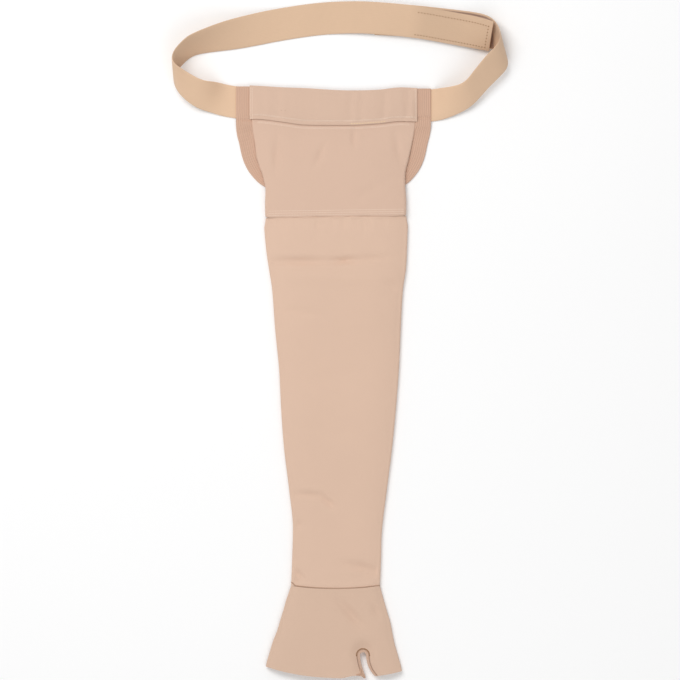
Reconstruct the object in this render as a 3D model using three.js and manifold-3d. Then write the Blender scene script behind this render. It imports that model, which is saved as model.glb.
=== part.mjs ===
// Arm compression sleeve with a shoulder cap, a chest strap and a hand piece, lying flat.
// Millimetres. +X across the arm, +Y from the hand to the shoulder, +Z up off the surface it lies on.
import * as THREE from 'three';
import { mergeVertices } from 'three/addons/utils/BufferGeometryUtils.js';
import Module from 'manifold-3d';

const wasm = await Module();
wasm.setup();

// Cloth, tape and the gap that pieces keep
const gap = 0.3;
const knitWall = 1.5;
const hemThickness = 2.8;
const bindingThickness = 1.8;
const elasticThickness = 1.5;
const hookThickness = 1;
const loopThickness = 1;

// Arm tube: widths are of the flat tube, heights are of the lying tube at its middle
const armLength = 425.5;
const armTopWidth = 165.6;
const armTopHeight = 13;
const sideRound = 3;
const armCrown = 4;
const armLap = 10;
const armTuck = 4;
const armTuckDrop = 2.9;

// Hand piece, from the wrist seam to its lower edge
const handLength = 101;
const handEndWidth = 155;
const handCrown = 8;
const wristSag = 3.5;
const wristSagReach = 42.5;
const handEndSag = 7.5;

// Slot between palm and thumb, open at the hand's lower edge
const slotLength = 27;
const slotTopWidth = 7;
const slotMouthWidth = 11.5;
const slotTopOffset = 31;
const slotLean = 8;
const slotBindingWidth = 3.5;
const slotBindingProud = 0.4;
const slotSeamHeight = 6.4;
const slotPull = 8;

// Shoulder cap: tube round the top of the arm, then an open front panel
const capWidth = 162;
const capTubeLength = 45;
const capBackLength = 28;
const capPanelLength = 62;
const capEdgeSlant = 2.4;
const panelEdgeRound = 1.8;
const panelEndHeight = 6;
const panelFlattening = 6;

// Hem band across the top of the panel
const hemWidth = 190;
const hemHeight = 40;
const hemLap = 9;
const hemShift = -3;
const hemSag = 3;
const hemFoldDepth = 0.9;
const hemSettleStart = 0.24;

// Ribbed binding round the armhole
const bindingWidth = 17;

// Straps and their closure
const strapWidth = 37;
const leftReach = 74;
const rightReach = 87;
const strapRise = 120;
const bendHeight = 38;
const strapTuck = 12;
const padWidth = 25;
const hookLength = 88;
const hookMargin = 4;
const loopLength = 134;
const loopMargin = 6;

// How finely the pieces are faceted
const tubeSteps = 14;
const handSteps = 22;
const bindingStations = 56;
const longStrapStations = 64;
const shortStrapStations = 44;
const hookStations = 16;
const loopStations = 22;
const routeStations = 200;

// Places that follow from the sizes
const capEdgeY = armLength;
const armpitY = capEdgeY + capTubeLength;
const hemLowY = armpitY + capPanelLength;
const hemHighY = hemLowY + hemHeight;
const hemMidY = (hemLowY + hemHighY) / 2;
const hemLeftX = hemShift - hemWidth / 2;
const hemRightX = hemShift + hemWidth / 2;
const bindingLeftX = hemLeftX - gap - bindingWidth;
const bindingRightX = hemRightX + gap + bindingWidth;
const bendLeftX = bindingLeftX - leftReach;
const bendRightX = bindingRightX + rightReach;
const loopWidth = bendRightX - bendLeftX;
const bindingTop = bindingThickness + gap;
const tabLevel = elasticThickness + loopThickness + hookThickness + 3 * gap;

// Sections of the arm: along is a share of armLength from the wrist, left and right are shares
// of half of armTopWidth, height is a share of armTopHeight
const armSections = [
  { along: 0.000, left: 0.625, right: 0.611, height: 0.78 },
  { along: 0.070, left: 0.611, right: 0.625, height: 0.76 },
  { along: 0.151, left: 0.600, right: 0.640, height: 0.77 },
  { along: 0.259, left: 0.653, right: 0.708, height: 0.82 },
  { along: 0.368, left: 0.722, right: 0.778, height: 0.87 },
  { along: 0.476, left: 0.764, right: 0.833, height: 0.91 },
  { along: 0.584, left: 0.792, right: 0.875, height: 0.94 },
  { along: 0.692, left: 0.847, right: 0.900, height: 0.97 },
  { along: 0.800, left: 0.889, right: 0.931, height: 0.99 },
  { along: 0.854, left: 0.931, right: 0.972, height: 1.00 },
  { along: 0.908, left: 0.972, right: 0.988, height: 1.00 },
  { along: 0.972, left: 1.000, right: 1.000, height: 1.00 },
];

// Sections of the hand: along is a share of handLength from the wrist, left and right are
// shares of half of handEndWidth, height is a share of armTopHeight
const handSections = [
  { along: 0.00, left: 0.668, right: 0.653, height: 0.78 },
  { along: 0.16, left: 0.740, right: 0.712, height: 0.80 },
  { along: 0.38, left: 0.831, right: 0.801, height: 0.84 },
  { along: 0.60, left: 0.935, right: 0.861, height: 0.86 },
  { along: 0.82, left: 1.024, right: 0.935, height: 0.84 },
  { along: 1.00, left: 1.030, right: 0.980, height: 0.80 },
];

// Sections of the cap: up is a share of its tube and panel together, spreadLeft and spreadRight
// go from the tube's half width at 0 to the hem's end at 1, height is a share of armTopHeight,
// flat goes from the tube's side round at 0 to the panel's edge round at 1
const capSections = [
  { up: 0.00, spreadLeft: -0.02, spreadRight: -0.02, height: 1.00, flat: 0.0 },
  { up: 0.14, spreadLeft: 0.04, spreadRight: 0.00, height: 0.99, flat: 0.0 },
  { up: 0.28, spreadLeft: 0.02, spreadRight: -0.08, height: 0.97, flat: 0.1 },
  { up: 0.42, spreadLeft: 0.17, spreadRight: -0.12, height: 0.92, flat: 0.4 },
  { up: 0.63, spreadLeft: 0.62, spreadRight: 0.30, height: 0.80, flat: 0.7 },
  { up: 0.82, spreadLeft: 0.78, spreadRight: 0.70, height: 0.62, flat: 0.9 },
  { up: 0.95, spreadLeft: 0.93, spreadRight: 0.92, height: 0.50, flat: 1.0 },
  { up: 1.09, spreadLeft: 0.98, spreadRight: 0.97, height: 0.46, flat: 1.0 },
];

// Dents of the lying cloth: across is a share of half the arm's top width, along a share of the
// length from the hand's end to the hem's stitched edge, length and width are shares of
// armTopWidth, depth is a share of armTopHeight, turn is in degrees from the X axis
const dents = [
  { across: -0.40, along: 0.749, length: 0.42, width: 0.040, depth: 0.12, turn: 0 },
  { across: 0.62, along: 0.755, length: 0.30, width: 0.040, depth: 0.09, turn: 6 },
  { across: -0.29, along: 0.316, length: 0.28, width: 0.040, depth: 0.13, turn: -24 },
  { across: 0.36, along: 0.192, length: 0.28, width: 0.040, depth: 0.14, turn: -12 },
  { across: -0.51, along: 0.179, length: 0.14, width: 0.040, depth: 0.08, turn: 60 },
  { across: 0.21, along: 0.107, length: 0.28, width: 0.050, depth: 0.15, turn: -47 },
  { across: -0.83, along: 0.942, length: 0.22, width: 0.040, depth: 0.14, turn: 88 },
  { across: -0.22, along: 0.944, length: 0.16, width: 0.035, depth: 0.12, turn: 64 },
  { across: 0.25, along: 0.975, length: 0.14, width: 0.040, depth: 0.10, turn: 90 },
];

// Soft upright folds of the hem band: across is a share of hemWidth from its left end, width is
// a share of hemWidth, depth is a share of hemFoldDepth
const hemFolds = [
  { across: 0.16, width: 0.030, depth: 0.8 },
  { across: 0.33, width: 0.060, depth: 0.4 },
  { across: 0.60, width: 0.028, depth: 1.0 },
  { across: 0.67, width: 0.022, depth: 0.8 },
  { across: 0.81, width: 0.028, depth: 1.0 },
  { across: 0.95, width: 0.025, depth: 0.7 },
];

// Rows of the hem band's section, as shares of hemHeight from its stitched edge
const hemRows = [0, 0.12, 0.24, 0.5, 0.8, 1];

// Middle line of the armhole binding on one side: inward is a share of the wing's width from
// the hem's end to the cap's side, drop is a share of the way from the hem's stitched edge to
// the bottom of the U, lift is a share of the height at which the end lies over the strap
const bindingSide = [
  { inward: 0.00, drop: -0.57, lift: 1 },
  { inward: 0.00, drop: -0.27, lift: 1 },
  { inward: 0.00, drop: 0.00, lift: 1 },
  { inward: 0.03, drop: 0.16, lift: 0 },
  { inward: 0.11, drop: 0.30, lift: 0 },
  { inward: 0.24, drop: 0.55, lift: 0 },
  { inward: 0.45, drop: 0.74, lift: 0 },
  { inward: 0.85, drop: 0.92, lift: 0 },
  { inward: 1.35, drop: 0.99, lift: 0 },
  { inward: 2.10, drop: 1.00, lift: 0 },
];

// Free end rows of the long strap, from under the binding to the left bend: out is a share of
// leftReach, up is a share of strapRise from the hem's middle, lift is the lower edge's height
// as a share of bendHeight, slant and tip turn the strap's width in plan and out of it
const longFront = [
  { out: -strapTuck / leftReach, up: 0.033, lift: 0, slant: 0, tip: 0 },
  { out: 0.00, up: 0.036, lift: 0, slant: 0, tip: 0 },
  { out: 0.05, up: 0.040, lift: 0, slant: 0, tip: 0 },
  { out: 0.23, up: 0.064, lift: 0.01, slant: 2, tip: 4 },
  { out: 0.38, up: 0.088, lift: 0.05, slant: 5, tip: 18 },
  { out: 0.54, up: 0.107, lift: 0.13, slant: 6, tip: 27 },
  { out: 0.73, up: 0.172, lift: 0.24, slant: 2, tip: 27 },
  { out: 0.89, up: 0.250, lift: 0.29, slant: 0, tip: 36 },
  { out: 0.98, up: 0.325, lift: 0.25, slant: -4, tip: 46 },
];

// Rows of the long strap from the left bend to its tab: share is a share of loopWidth from the
// left bend, level is a share of the tab's height over the short strap
const longBack = [
  { share: 0.008, up: 0.413, lift: 0.11, level: 0, slant: -4, tip: 46 },
  { share: 0.028, up: 0.493, lift: 0.02, level: 0, slant: -5, tip: 49 },
  { share: 0.053, up: 0.570, lift: 0.00, level: 0, slant: -8, tip: 51 },
  { share: 0.107, up: 0.630, lift: 0.00, level: 0, slant: -10, tip: 42 },
  { share: 0.207, up: 0.705, lift: 0.00, level: 0, slant: -13, tip: 17 },
  { share: 0.321, up: 0.782, lift: 0.00, level: 0, slant: -11, tip: 2 },
  { share: 0.445, up: 0.839, lift: 0.00, level: 0, slant: -5, tip: 0 },
  { share: 0.550, up: 0.853, lift: 0.00, level: 0.7, slant: 0, tip: 0 },
  { share: 0.644, up: 0.837, lift: 0.00, level: 1.1, slant: 5, tip: 0 },
  { share: 0.744, up: 0.802, lift: 0.00, level: 1.0, slant: 10, tip: 0 },
  { share: 0.847, up: 0.743, lift: 0.00, level: 1.0, slant: 12, tip: 1 },
  { share: 0.905, up: 0.707, lift: 0.01, level: 1.1, slant: 12, tip: 9 },
  { share: 0.946, up: 0.673, lift: 0.03, level: 1.3, slant: 11, tip: 24 },
];

// Rows of the short strap from under the binding to the right bend: out is a share of rightReach
const shortFront = [
  { out: -strapTuck / rightReach, up: 0.000, lift: 0, slant: 0, tip: 0 },
  { out: 0.00, up: 0.006, lift: 0, slant: 0, tip: 0 },
  { out: 0.04, up: 0.010, lift: 0, slant: 0, tip: 0 },
  { out: 0.19, up: 0.028, lift: 0.03, slant: -2, tip: 17 },
  { out: 0.37, up: 0.067, lift: 0.08, slant: -5, tip: 31 },
  { out: 0.50, up: 0.120, lift: 0.14, slant: -15, tip: 38 },
  { out: 0.69, up: 0.278, lift: 0.22, slant: -23, tip: 39 },
  { out: 0.83, up: 0.388, lift: 0.24, slant: -25, tip: 36 },
  { out: 0.925, up: 0.470, lift: 0.21, slant: -24, tip: 38 },
];

// Rows of the short strap from the right bend to its end under the tab
const shortBack = [
  { share: 0.985, up: 0.551, lift: 0.13, slant: -18, tip: 38 },
  { share: 0.975, up: 0.642, lift: 0.05, slant: -10, tip: 30 },
  { share: 0.949, up: 0.705, lift: 0.01, slant: 0, tip: 13 },
  { share: 0.905, up: 0.743, lift: 0.00, slant: 8, tip: 2 },
  { share: 0.798, up: 0.777, lift: 0.00, slant: 7, tip: 0 },
  { share: 0.693, up: 0.820, lift: 0.00, slant: 4, tip: 0 },
  { share: 0.607, up: 0.839, lift: 0.00, slant: 1, tip: 0 },
];

const degree = Math.PI / 180;

// Slope of a column at the middle one of three rows, level where the column turns back
function slopeThrough(before, row, after, key, name) {
  const turnsBack = (row[name] - before[name]) * (after[name] - row[name]) <= 0;
  if (turnsBack && before !== row && after !== row) return 0;
  return (after[name] - before[name]) / (after[key] - before[key]);
}

// Smooth value of every column of a table at a place given in its key column
function readTable(rows, key, place) {
  const last = rows.length - 2;
  let i = 0;
  while (i < last && place > rows[i + 1][key]) i += 1;
  const a = rows[i];
  const b = rows[i + 1];
  const before = rows[i - 1] ?? a;
  const after = rows[i + 2] ?? b;
  const span = b[key] - a[key];
  const t = THREE.MathUtils.clamp((place - a[key]) / span, 0, 1);
  const read = {};
  for (const name of Object.keys(a)) {
    const slopeA = slopeThrough(before, a, b, key, name);
    const slopeB = slopeThrough(a, b, after, key, name);
    const h = t * t * (3 - 2 * t);
    const curveA = t * (1 - t) * (1 - t) * span * slopeA;
    const curveB = t * t * (t - 1) * span * slopeB;
    read[name] = a[name] * (1 - h) + b[name] * h + curveA + curveB;
  }
  return read;
}

// Depth of all the dents at a point of the lying cloth
function dentAt(x, y) {
  const reach = handLength + hemLowY;
  let depth = 0;
  for (const dent of dents) {
    const dx = x - dent.across * armTopWidth / 2;
    const dy = y + handLength - dent.along * reach;
    const turn = dent.turn * degree;
    const along = (dx * Math.cos(turn) + dy * Math.sin(turn)) / (dent.length * armTopWidth / 2);
    const aside = (dy * Math.cos(turn) - dx * Math.sin(turn)) / (dent.width * armTopWidth);
    depth += dent.depth * armTopHeight * Math.exp(-along * along - aside * aside);
  }
  return depth;
}

// Points across a lying tube from its left side to its right: half is how far the round side
// has opened there, side runs from -1 to 1 over the crowned part
function tubeChain(left, right, round, steps) {
  const quarterSteps = 2;
  const chain = [];
  for (let i = 0; i < quarterSteps; i += 1) {
    const turn = Math.PI / 2 * i / quarterSteps;
    chain.push({ x: left + round * (1 - Math.cos(turn)), half: round * Math.sin(turn), side: -1 });
  }
  for (let i = 0; i <= steps; i += 1) {
    const x = THREE.MathUtils.lerp(left + round, right - round, i / steps);
    chain.push({ x, half: round, side: 2 * i / steps - 1 });
  }
  for (let i = quarterSteps - 1; i >= 0; i -= 1) {
    const turn = Math.PI / 2 * i / quarterSteps;
    chain.push({ x: right - round * (1 - Math.cos(turn)), half: round * Math.sin(turn), side: 1 });
  }
  return chain;
}

// One ring of a lying tube: flat below, round at the sides, crowned above.
// section has left, right, base, height, round and the power of its crown; inset shrinks it by
// a wall.
function tubeRing(section, inset, yAt, shapeTop) {
  const round = section.round - inset;
  const middle = section.base + section.round;
  const rise = section.height - section.base - 2 * section.round;
  const chain = tubeChain(section.left + inset, section.right - inset, round, section.steps ?? tubeSteps);
  const lower = chain.map(({ x, half }) => [x, yAt(x), middle - half]);
  const upper = chain.slice(1, -1).reverse().map(({ x, half, side }) => {
    const top = middle + half + rise * (1 - Math.abs(side) ** section.crown);
    return [x, yAt(x), half < round ? top : shapeTop(x, yAt(x), top, inset)];
  });
  return [...lower, ...upper];
}

// Closed geometry from points and triangles, with its faces turned outwards
function closedGeometry(points, triangles) {
  let volume = 0;
  for (const [a, b, c] of triangles) {
    const [ax, ay, az] = points[a];
    const [bx, by, bz] = points[b];
    const [cx, cy, cz] = points[c];
    volume += ax * (by * cz - bz * cy) + ay * (bz * cx - bx * cz) + az * (bx * cy - by * cx);
  }
  const outward = volume < 0 ? triangles.map(([a, b, c]) => [a, c, b]) : triangles;
  const geometry = new THREE.BufferGeometry();
  geometry.setAttribute('position', new THREE.Float32BufferAttribute(points.flat(), 3));
  geometry.setIndex(outward.flat());
  geometry.computeVertexNormals();
  return geometry;
}

// Two triangles between neighbouring points of two rings of a lofted skin
function ringFaces(triangles, firstA, firstB, count) {
  for (let i = 0; i < count; i += 1) {
    const next = (i + 1) % count;
    triangles.push([firstA + i, firstA + next, firstB + next]);
    triangles.push([firstA + i, firstB + next, firstB + i]);
  }
}

// Faces that close the end of a skin whose ring runs out along one side and back along the other
function endFaces(triangles, first, count, turned) {
  let low = 0;
  let high = count - 1;
  while (high - low > 1) {
    const pair = [[low, high, low + 1]];
    if (high - low > 2) pair.push([low + 1, high, high - 1]);
    for (const [a, b, c] of pair) {
      triangles.push(turned ? [first + a, first + c, first + b] : [first + a, first + b, first + c]);
    }
    low += 1;
    high -= 1;
  }
}

// Solid skinned over rings and closed at both ends
function loft(rings) {
  const count = rings[0].length;
  const triangles = [];
  for (let i = 0; i + 1 < rings.length; i += 1) ringFaces(triangles, i * count, (i + 1) * count, count);
  endFaces(triangles, 0, count, false);
  endFaces(triangles, (rings.length - 1) * count, count, true);
  return closedGeometry(rings.flat(), triangles);
}

// Open tube with a wall, from its outer and inner rings
function openTube(outer, inner) {
  const count = outer[0].length;
  const points = [...outer.flat(), ...inner.flat()];
  const shift = outer.length * count;
  const triangles = [];
  const hollow = [];
  for (let i = 0; i + 1 < outer.length; i += 1) {
    ringFaces(triangles, i * count, (i + 1) * count, count);
    ringFaces(hollow, shift + i * count, shift + (i + 1) * count, count);
  }
  for (const [a, b, c] of hollow) triangles.push([a, c, b]);
  const last = (outer.length - 1) * count;
  ringFaces(triangles, shift, 0, count);
  ringFaces(triangles, last, shift + last, count);
  return closedGeometry(points, triangles);
}

// A geometry as a solid that can be joined and cut
function toSolid(geometry) {
  const bare = new THREE.BufferGeometry();
  bare.setAttribute('position', geometry.getAttribute('position'));
  if (geometry.index) bare.setIndex(geometry.index);
  const sameWithin = 1e-4;
  const merged = mergeVertices(bare, sameWithin);
  const vertProperties = new Float32Array(merged.getAttribute('position').array);
  const triVerts = new Uint32Array(merged.index.array);
  return new wasm.Manifold(new wasm.Mesh({ numProp: 3, vertProperties, triVerts }));
}

function toGeometry(solid) {
  const mesh = solid.getMesh();
  const geometry = new THREE.BufferGeometry();
  geometry.setAttribute('position', new THREE.BufferAttribute(new Float32Array(mesh.vertProperties), 3));
  geometry.setIndex(new THREE.BufferAttribute(new Uint32Array(mesh.triVerts), 1));
  geometry.computeVertexNormals();
  return geometry;
}

const dentedTop = (x, y, top) => top - dentAt(x, y);

// Section of the arm at a share of its length, sinking inside the cap near its top
function armSection(along) {
  const read = readTable(armSections, 'along', along);
  const half = armTopWidth / 2;
  const inside = knitWall + gap;
  const tucked = armLength - capEdgeSlant / 2 - gap;
  const tuck = THREE.MathUtils.smoothstep(along * armLength, tucked - armTuck, tucked);
  return {
    left: THREE.MathUtils.lerp(-half * read.left, -capWidth / 2 + 2 * inside, tuck),
    right: THREE.MathUtils.lerp(half * read.right, capWidth / 2 - 2 * inside, tuck),
    base: inside * tuck,
    height: armTopHeight * read.height - armTuckDrop * tuck,
    round: sideRound,
    crown: armCrown,
  };
}

// The long tapered tube, from the wrist seam to its end inside the cap
function armSleeve() {
  const bodyRows = 18;
  const lapRows = 3;
  const places = [];
  const lapStart = armLength - armLap;
  for (let i = 0; i < bodyRows; i += 1) places.push(lapStart * i / bodyRows);
  for (let i = 0; i <= lapRows; i += 1) places.push(lapStart + armLap * i / lapRows);
  places.push(armLength + armLap);
  const outer = [];
  const inner = [];
  for (const place of places) {
    const section = armSection(place / armLength);
    const sag = wristSag * Math.max(0, 1 - place / wristSagReach);
    const half = armTopWidth * armSections[0].left / 2;
    const lift = gap / 2 + place;
    const yAt = (x) => lift - sag * (1 - (x / half) ** 2);
    outer.push(tubeRing(section, 0, yAt, dentedTop));
    inner.push(tubeRing(section, knitWall, yAt, dentedTop));
  }
  return openTube(outer, inner);
}

// Middle line and half width of the thumb slot at a share of its length from the top
function slotAt(down) {
  return {
    x: slotTopOffset + slotLean * down,
    y: -(handLength - slotLength) - slotLength * down,
    half: THREE.MathUtils.lerp(slotTopWidth, slotMouthWidth, down * down) / 2,
  };
}

// Cutter in the slot's outline, grown outwards on all sides and open below the hand
function slotCutter(grow) {
  const top = slotAt(0);
  const mouth = slotAt(1);
  const past = slotAt(2);
  const round = top.half + grow;
  const shape = new THREE.Shape();
  shape.moveTo(past.x - mouth.half - grow, past.y);
  shape.lineTo(mouth.x - mouth.half - grow, mouth.y);
  shape.lineTo(top.x - round, top.y - round);
  shape.absarc(top.x, top.y - top.half, round, Math.PI, 0, true);
  shape.lineTo(mouth.x + mouth.half + grow, mouth.y);
  shape.lineTo(past.x + mouth.half + grow, past.y);
  const depth = armTopHeight * 3;
  const geometry = new THREE.ExtrudeGeometry(shape, { depth, bevelEnabled: false, curveSegments: 8 });
  return toSolid(geometry.translate(0, 0, -armTopHeight));
}

// How far a point lies from the slot's edge
function fromSlot(x, y) {
  const top = slotAt(0);
  const down = THREE.MathUtils.clamp((top.y - y) / slotLength, 0, 1);
  const here = slotAt(down);
  return Math.max(0, Math.hypot(x - here.x, Math.max(0, y - top.y)) - here.half);
}

// Top of the hand piece: its two layers are drawn together along the slot
function handTop(proud) {
  return (x, y, top, inset) => {
    const seam = slotSeamHeight - inset;
    const pull = Math.exp(-((fromSlot(x, y) / slotPull) ** 2));
    const dented = top - dentAt(x, y);
    return THREE.MathUtils.lerp(dented, Math.min(dented, seam), pull) + proud;
  };
}

const movedAlong = (ring, by) => ring.map(([x, y, z]) => [x, y + by, z]);

// Solid of the hand's lying form; inset shrinks it, past runs it beyond both ends, proud lifts it
function handForm(inset, past, proud) {
  const rows = 10;
  const rings = [];
  const half = handEndWidth / 2;
  for (let i = 0; i <= rows; i += 1) {
    const along = i / rows;
    const read = readTable(handSections, 'along', along);
    const section = {
      left: -half * read.left,
      right: half * read.right,
      base: 0,
      height: armTopHeight * read.height,
      round: sideRound,
      crown: handCrown,
      steps: handSteps,
    };
    const sag = THREE.MathUtils.lerp(wristSag, handEndSag, along);
    const middle = (section.left + section.right) / 2;
    const span = (section.right - section.left) / 2;
    const yAt = (x) => -gap / 2 - handLength * along - sag * (1 - ((x - middle) / span) ** 2);
    rings.push(tubeRing(section, inset, yAt, handTop(proud)));
  }
  rings[0] = movedAlong(rings[0], past);
  rings[rows] = movedAlong(rings[rows], -past);
  return toSolid(loft(rings));
}

// The flared hand piece: a palm tube and a thumb tube with the slot between them
function handPiece() {
  const outline = handForm(0, 0, 0).subtract(slotCutter(slotBindingWidth + gap));
  const hollow = handForm(knitWall, 4 * knitWall, 0);
  const seamWall = slotCutter(slotBindingWidth + gap + knitWall);
  return toGeometry(outline.subtract(hollow.subtract(seamWall)));
}

// Narrow binding round the slot, a little proud of the cloth
function thumbSlotBinding() {
  const body = handForm(0, 0, slotBindingProud);
  return toGeometry(body.intersect(slotCutter(slotBindingWidth)).subtract(slotCutter(0)));
}

// Section of the cap at a share of its length up from its lower edge
function capSection(up) {
  const read = readTable(capSections, 'up', up);
  const half = capWidth / 2;
  return {
    left: THREE.MathUtils.lerp(-half, hemLeftX + gap, read.spreadLeft),
    right: THREE.MathUtils.lerp(half, hemRightX - gap, read.spreadRight),
    base: 0,
    height: THREE.MathUtils.lerp(armTopHeight * read.height, panelEndHeight, read.flat ** panelFlattening),
    round: THREE.MathUtils.lerp(sideRound + knitWall + gap, panelEdgeRound, read.flat),
    crown: armCrown,
  };
}

// The cap: a tube over the arm's top whose front goes on as the panel
function shoulderCap() {
  const rows = 11;
  const outer = [];
  const inner = [];
  const capLength = capTubeLength + capPanelLength;
  const endUp = 1 + hemLap / capLength;
  for (let i = 0; i <= rows; i += 1) {
    const up = endUp * i / rows;
    const section = capSection(up);
    const slant = capEdgeSlant * (1 - up / endUp);
    const yAt = (x) => capEdgeY + capLength * up + slant * x / capWidth;
    outer.push(tubeRing(section, 0, yAt, dentedTop));
    inner.push(tubeRing(section, knitWall, yAt, dentedTop));
  }
  const tube = toSolid(openTube(outer, inner));
  const backCut = new THREE.BoxGeometry(2 * hemWidth, 2 * capLength, 2 * bindingTop);
  backCut.translate(0, capEdgeY + capBackLength + capLength, 0);
  return toGeometry(tube.subtract(toSolid(backCut)));
}

// Height of the panel's upper face under the hem band
function panelTop(x, y) {
  const section = capSection((y - capEdgeY) / (capTubeLength + capPanelLength));
  const side = THREE.MathUtils.clamp(
    (2 * x - section.left - section.right) / (section.right - section.left), -1, 1);
  const rise = section.height - 2 * section.round;
  return 2 * section.round + rise * (1 - Math.abs(side) ** section.crown);
}

// Depth of the hem band's upright folds
function hemFoldAt(x) {
  let depth = 0;
  for (const fold of hemFolds) {
    const aside = (x - hemLeftX - fold.across * hemWidth) / (fold.width * hemWidth);
    depth += fold.depth * hemFoldDepth * Math.exp(-aside * aside);
  }
  return depth;
}

// The folded band across the panel's end, lying over it and then down towards the surface
function topHemBand() {
  const columns = 44;
  const rings = [];
  for (let i = 0; i <= columns; i += 1) {
    const x = THREE.MathUtils.lerp(hemLeftX, hemRightX, i / columns);
    const side = (2 * (x - hemShift)) / hemWidth;
    const under = [];
    const above = [];
    for (const share of hemRows) {
      const y = hemLowY + hemHeight * share - hemSag * (1 - side * side);
      const lapped = panelTop(x, hemLowY) + gap;
      const settle = THREE.MathUtils.smoothstep(share, hemSettleStart, 1);
      const low = THREE.MathUtils.lerp(lapped, bindingThickness, settle);
      under.push([x, y, low]);
      above.push([x, y, low + hemThickness - hemFoldAt(x)]);
    }
    const foldY = above[above.length - 1][1] + hemThickness / 4;
    const foldZ = (under[under.length - 1][2] + above[above.length - 1][2]) / 2;
    rings.push([...under, [x, foldY, foldZ], ...above.reverse()]);
  }
  return loft(rings);
}

// Evenly spread stations along a smooth line through rows of a route
function stations(rows, count) {
  let travelled = 0;
  const route = rows.map((row, i) => {
    const from = rows[Math.max(0, i - 1)];
    travelled += Math.hypot(row.x - from.x, row.y - from.y, row.z - from.z);
    return { ...row, travelled };
  });
  const read = [];
  for (let i = 0; i <= count; i += 1) read.push(readTable(route, 'travelled', travelled * i / count));
  return read;
}

// Band of cloth along a route; each station has its middle, its slant and its tip, or lies flat
// across the route where it has no slant. raise shifts the band off the route along its face.
function band(path, width, thickness, spans, raise = 0) {
  const rings = path.map((station, i) => {
    const from = path[Math.max(0, i - 1)];
    const to = path[Math.min(path.length - 1, i + 1)];
    const along = new THREE.Vector3(to.x - from.x, to.y - from.y, to.z - from.z).normalize();
    const across = new THREE.Vector3();
    if (station.slant === undefined) {
      across.set(-along.y, along.x, 0).normalize();
    } else {
      const slant = station.slant * degree;
      const tip = station.tip * degree;
      across.set(Math.sin(slant) * Math.cos(tip), Math.cos(slant) * Math.cos(tip), Math.sin(tip));
    }
    const face = new THREE.Vector3().crossVectors(across, along).normalize();
    const middle = new THREE.Vector3(station.x, station.y, station.z);
    const ring = [];
    for (const side of [1, -1]) {
      for (let k = 0; k <= spans; k += 1) {
        const aside = side * (k / spans - 0.5) * width;
        const point = middle.clone().addScaledVector(across, aside);
        point.addScaledVector(face, raise + side * thickness / 2);
        ring.push(point.toArray());
      }
    }
    return ring;
  });
  return loft(rings);
}

// The U-shaped band from one hem end, behind the cap, to the other
function armholeBinding() {
  const wing = (hemWidth - capWidth) / 2 + gap + bindingWidth;
  const overStrap = elasticThickness + gap;
  const lowY = capEdgeY + capBackLength + 2 * gap + bindingWidth / 2;
  const side = (outerX, sign) => bindingSide.map((row) => ({
    x: outerX + sign * (bindingWidth / 2 + wing * row.inward),
    y: Math.min(hemHighY, THREE.MathUtils.lerp(hemLowY, lowY, row.drop)),
    z: bindingThickness / 2 + overStrap * row.lift,
  }));
  const left = side(bindingLeftX, 1);
  const right = side(bindingRightX, -1).reverse();
  return band(stations([...left, ...right], bindingStations), bindingWidth, bindingThickness, 2);
}

// A strap's stations; low is the height of its lower edge, from which its middle follows
function strapStations(rows, count) {
  return stations(rows.map(onEdge), count).map(onEdge);
}

function onEdge(row) {
  const low = Math.max(0, row.low);
  const tip = Math.max(0, row.tip);
  return { ...row, low, tip, z: low + elasticThickness / 2 + strapWidth / 2 * Math.sin(tip * degree) };
}

function frontRow(row, startX, reach) {
  return {
    x: startX + reach * row.out,
    y: hemMidY + strapRise * row.up,
    low: bendHeight * row.lift,
    slant: row.slant,
    tip: row.tip,
  };
}

function backRow(row) {
  return {
    x: bendLeftX + loopWidth * row.share,
    y: hemMidY + strapRise * row.up,
    low: bendHeight * row.lift + tabLevel * (row.level ?? 0),
    slant: row.slant,
    tip: row.tip,
  };
}

function longStrapRoute() {
  return [...longFront.map((row) => frontRow(row, bindingLeftX, -leftReach)), ...longBack.map(backRow)];
}

function shortStrapRoute() {
  return [...shortFront.map((row) => frontRow(row, bindingRightX, rightReach)), ...shortBack.map(backRow)];
}

// Stations over the last stretch of a strap, ending a margin before its end
function endStretch(rows, length, margin, count) {
  const fine = strapStations(rows, routeStations);
  const total = fine[fine.length - 1].travelled;
  const kept = fine.filter((at) => at.travelled >= total - length - margin && at.travelled <= total - margin);
  return strapStations(kept, count);
}

function strapLong() {
  return band(strapStations(longStrapRoute(), longStrapStations), strapWidth, elasticThickness, 3);
}

function strapShort() {
  return band(strapStations(shortStrapRoute(), shortStrapStations), strapWidth, elasticThickness, 3);
}

// Hook tape on the face of the tab that looks down
function hookPad() {
  const path = endStretch(longStrapRoute(), hookLength, hookMargin, hookStations);
  return band(path, padWidth, hookThickness, 2, elasticThickness / 2 + gap + hookThickness / 2);
}

// Pile tape on the face of the short strap that looks up at the tab
function loopPad() {
  const path = endStretch(shortStrapRoute(), loopLength, loopMargin, loopStations);
  return band(path, padWidth, loopThickness, 2, elasticThickness / 2 + gap + loopThickness / 2);
}

function piece(name, geometry, color, roughness) {
  const material = new THREE.MeshStandardMaterial({ color, roughness, metalness: 0 });
  const mesh = new THREE.Mesh(geometry, material);
  mesh.name = name;
  return mesh;
}

const knitColour = 0xdcbca8;
const handColour = 0xd4b6a3;
const hemColour = 0xe2c2ad;
const ribColour = 0xcda892;
const strapColour = 0xd7b59f;

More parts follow.
